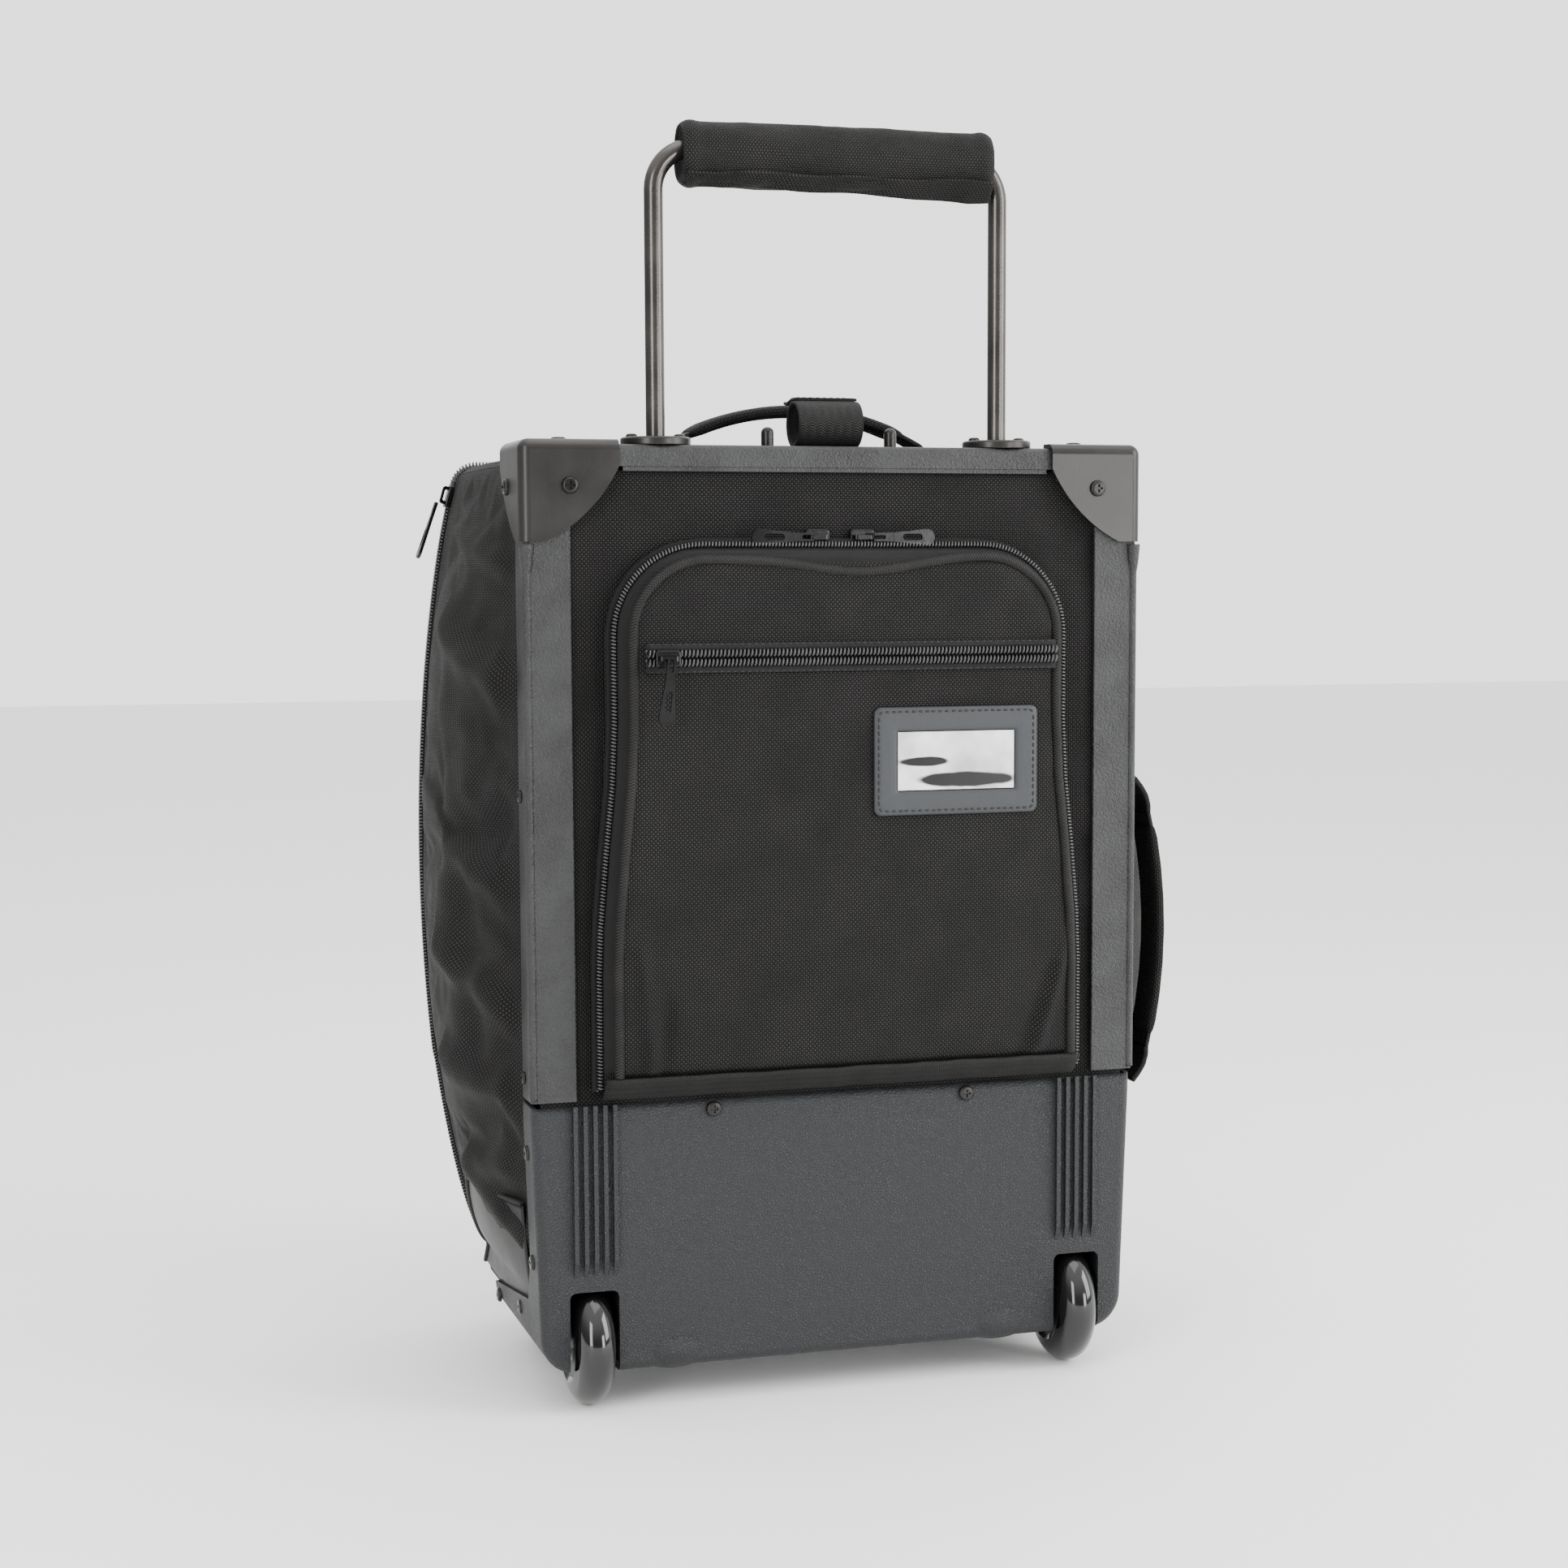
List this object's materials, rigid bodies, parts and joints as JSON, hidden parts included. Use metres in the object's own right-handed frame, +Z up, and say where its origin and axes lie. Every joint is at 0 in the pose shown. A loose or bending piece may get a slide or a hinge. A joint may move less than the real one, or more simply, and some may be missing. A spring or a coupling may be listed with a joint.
{
  "type": "softside upright suitcase",
  "caption": "Fabric upright case on a metal back frame, with two wheels, a telescoping trolley handle, zipped lid and zipped rear pocket.",
  "frame": {"origin": "on the floor under the middle of the whole case", "axes": "+Z up, -Y towards the wheels and trolley handle, +Y towards the lid, +X to the right of someone facing the wheel side"},
  "size_m": [0.4303, 0.2423, 0.712],
  "materials": {
    "frame_powder": "fine crinkle powder coat, slate",
    "bracket_metal": "satin dark grey enamel",
    "screw_metal": "black oxide, low gloss",
    "tray_plastic": "leather-grained moulding",
    "inner_plastic": "plain matte",
    "tyre_urethane": "glossy black urethane",
    "hub_plastic": "moulded",
    "steel": "bare steel",
    "handle_metal": "satin gunmetal anodised",
    "ballistic_nylon": "black ballistic nylon weave",
    "webbing": "black nylon webbing",
    "zip_coil": "coil zip on woven tape",
    "zip_metal": "black enamelled zinc",
    "board": "corrugated stiffener board",
    "id_leather": "smooth grey-black leather",
    "clear_vinyl": "clear flexible window",
    "foot_plastic": "moulded feet"
  },
  "bodies": {
    "case": {"top_bar": "frame_powder", "left_upright": "frame_powder", "right_upright": "frame_powder", "left_corner_bracket": "bracket_metal", "right_corner_bracket": "bracket_metal", "bracket_screws": "screw_metal", "frame_screws": "screw_metal", "tray_screws": "screw_metal", "flange_screws": "screw_metal", "scuff_tray": "tray_plastic", "left_wheel_housing": "inner_plastic", "right_wheel_housing": "inner_plastic", "latch_anchor": "inner_plastic", "left_axle": "steel", "right_axle": "steel", "left_latch_spring": "steel", "right_latch_spring": "steel", "latch_plate": "steel", "front_feet": "foot_plastic", "rod_flanges": "handle_metal", "guide_tubes": "handle_metal", "rear_panel": "ballistic_nylon", "left_panel": "ballistic_nylon", "right_panel": "ballistic_nylon", "top_panel": "ballistic_nylon", "bottom_panel": "ballistic_nylon", "pocket_border": "ballistic_nylon", "carry_anchors": "webbing", "side_anchors": "webbing", "hitch_strap": "webbing", "main_zip": "zip_coil", "main_slider": "zip_metal", "left_pocket_slider": "zip_metal", "right_pocket_slider": "zip_metal", "rear_board": "board", "base_board": "board"},
    "handle": {"handle_tube": "handle_metal", "handle_grip": "ballistic_nylon", "rod_stops": "inner_plastic"},
    "left_latch": {"left_latch": "screw_metal"},
    "right_latch": {"right_latch": "screw_metal"},
    "left_wheel": {"left_tyre": "tyre_urethane", "left_hub": "hub_plastic", "left_bearings": "steel"},
    "right_wheel": {"right_tyre": "tyre_urethane", "right_hub": "hub_plastic", "right_bearings": "steel"},
    "carry_handle": {"carry_handle": "ballistic_nylon"},
    "side_handle": {"side_handle": "ballistic_nylon"},
    "lid": {"lid_panel": "ballistic_nylon", "lid_border": "ballistic_nylon"},
    "main_pull": {"main_pull": "zip_metal"},
    "pocket_flap": {"pocket_flap": "ballistic_nylon", "cross_zip": "zip_coil", "id_frame": "id_leather", "id_window": "clear_vinyl"},
    "left_pocket_pull": {"left_pocket_pull": "zip_metal"},
    "right_pocket_pull": {"right_pocket_pull": "zip_metal"},
    "cross_slider": {"cross_slider": "zip_metal"},
    "cross_pull": {"cross_pull": "zip_metal"}
  },
  "joints": [
    {"name": "handle_slide", "type": "slide", "parent": "case", "child": "handle", "axis": [0, 0, 1], "range_m": [-0.105, 0.3]},
    {"name": "left_release", "type": "slide", "parent": "case", "child": "left_latch", "axis": [1, 0, 0], "range_m": [0, 0.006], "stiffness_N_per_m": 700, "springref_m": -0.003, "deforming": ["left_latch_spring"]},
    {"name": "right_release", "type": "slide", "parent": "case", "child": "right_latch", "axis": [-1, 0, 0], "range_m": [0, 0.006], "stiffness_N_per_m": 700, "springref_m": -0.003, "deforming": ["right_latch_spring"]},
    {"name": "left_wheel_spin", "type": "hinge", "parent": "case", "child": "left_wheel", "pos_m": [-0.144, -0.073, 0.036], "axis": [1, 0, 0], "continuous": true},
    {"name": "right_wheel_spin", "type": "hinge", "parent": "case", "child": "right_wheel", "pos_m": [0.144, -0.073, 0.036], "axis": [1, 0, 0], "continuous": true},
    {"name": "carry_handle_fold", "type": "hinge", "parent": "case", "child": "carry_handle", "pos_m": [0, -0.005, 0.542], "axis": [1, 0, 0], "range_deg": [-55, 55], "stiffness_Nm_per_rad": 0.05},
    {"name": "side_handle_lift", "type": "slide", "parent": "case", "child": "side_handle", "axis": [1, 0, 0], "range_m": [0, 0.012], "stiffness_N_per_m": 60, "springref_m": -0.004},
    {"name": "lid_hinge", "type": "hinge", "parent": "case", "child": "lid", "pos_m": [0, 0.0985, 0.061], "axis": [-1, 0, 0], "range_deg": [0, 90]},
    {"name": "main_pull_swing", "type": "hinge", "parent": "case", "child": "main_pull", "pos_m": [-0.19274, 0.0958, 0.507], "axis": [0, 1, 0], "range_deg": [0, 135]},
    {"name": "pocket_hinge", "type": "hinge", "parent": "case", "child": "pocket_flap", "pos_m": [0, -0.1009, 0.1844], "axis": [1, 0, 0], "range_deg": [0, 90]},
    {"name": "left_pocket_pull_flip", "type": "hinge", "parent": "case", "child": "left_pocket_pull", "pos_m": [-0.019, -0.1004, 0.4849], "axis": [0, 0, 1], "range_deg": [0, 120]},
    {"name": "right_pocket_pull_flip", "type": "hinge", "parent": "case", "child": "right_pocket_pull", "pos_m": [0.019, -0.1004, 0.4849], "axis": [0, 0, -1], "range_deg": [0, 120]},
    {"name": "cross_zip_slide", "type": "slide", "parent": "pocket_flap", "child": "cross_slider", "axis": [1, 0, 0], "range_m": [0, 0.218]},
    {"name": "cross_pull_swing", "type": "hinge", "parent": "cross_slider", "child": "cross_pull", "pos_m": [-0.104, -0.1215, 0.4175], "axis": [0, 1, 0], "range_deg": [-80, 80]}
  ]
}
